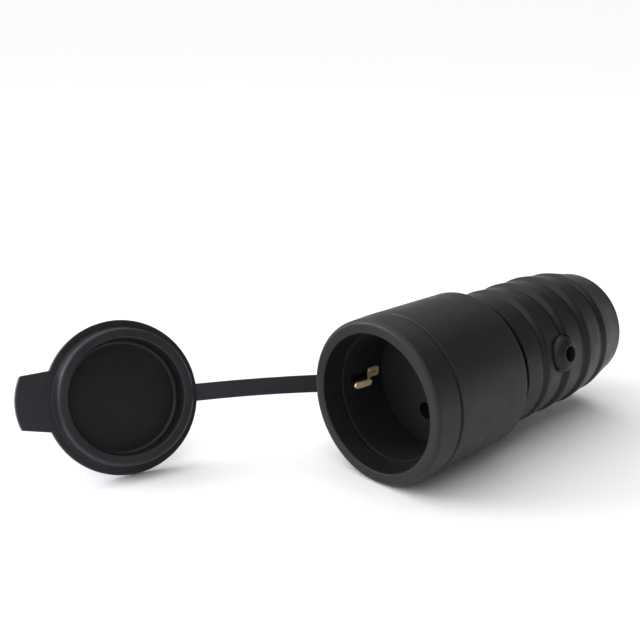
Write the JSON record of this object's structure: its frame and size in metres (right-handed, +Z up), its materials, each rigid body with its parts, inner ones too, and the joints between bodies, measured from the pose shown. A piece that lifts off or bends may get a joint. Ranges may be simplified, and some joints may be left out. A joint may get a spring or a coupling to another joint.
{
  "type": "inline socket connector",
  "caption": "Rubber inline socket connector with a round earthed recess, a ribbed grip with a cable entry and a screw boss, and a sealing cap on a strap.",
  "frame": {"origin": "centre of the mouth, in the plane of its front edge", "axes": "+Y along the barrel from the mouth to the cable end, +Z up while the connector lies on its barrel, +X to the right seen from the mouth"},
  "size_m": [0.1025, 0.1855, 0.052],
  "materials": {
    "housing_rubber": "satin black rubber",
    "grip_rubber": "satin black rubber",
    "strap_rubber": "satin black rubber",
    "cap_rubber": "satin black rubber",
    "seal_rubber": "matt black rubber",
    "insert_plastic": "matt black plastic",
    "base_plastic": "matt dark plastic",
    "contact_brass": "plain brass",
    "fixing_steel": "plain steel"
  },
  "bodies": {
    "connector": {"front_housing": "housing_rubber", "socket_insert": "insert_plastic", "earth_bracket": "contact_brass", "earth_terminal_screw": "fixing_steel", "contact_base": "base_plastic", "line_contact": "contact_brass", "line_terminal_screw": "fixing_steel", "neutral_contact": "contact_brass", "neutral_terminal_screw": "fixing_steel", "base_screws": "fixing_steel", "cord_clamp_bar": "fixing_steel", "cord_clamp_screws": "fixing_steel", "anchor_nut": "fixing_steel", "locking_screw": "fixing_steel", "grip_sleeve": "grip_rubber", "cable_seal": "seal_rubber", "retaining_ring": "strap_rubber", "cap_strap": "strap_rubber"},
    "cap": {"cap": "cap_rubber"}
  },
  "joints": [
    {"name": "cap_swing", "type": "hinge", "parent": "connector", "child": "cap", "pos_m": [-0.04788, -0.0012, -0.00829], "axis": [-0.1723, 0.1705, 0.9702], "range_deg": [0, 106.64], "stiffness_Nm_per_rad": 0.002, "deforming": ["cap_strap"]}
  ]
}
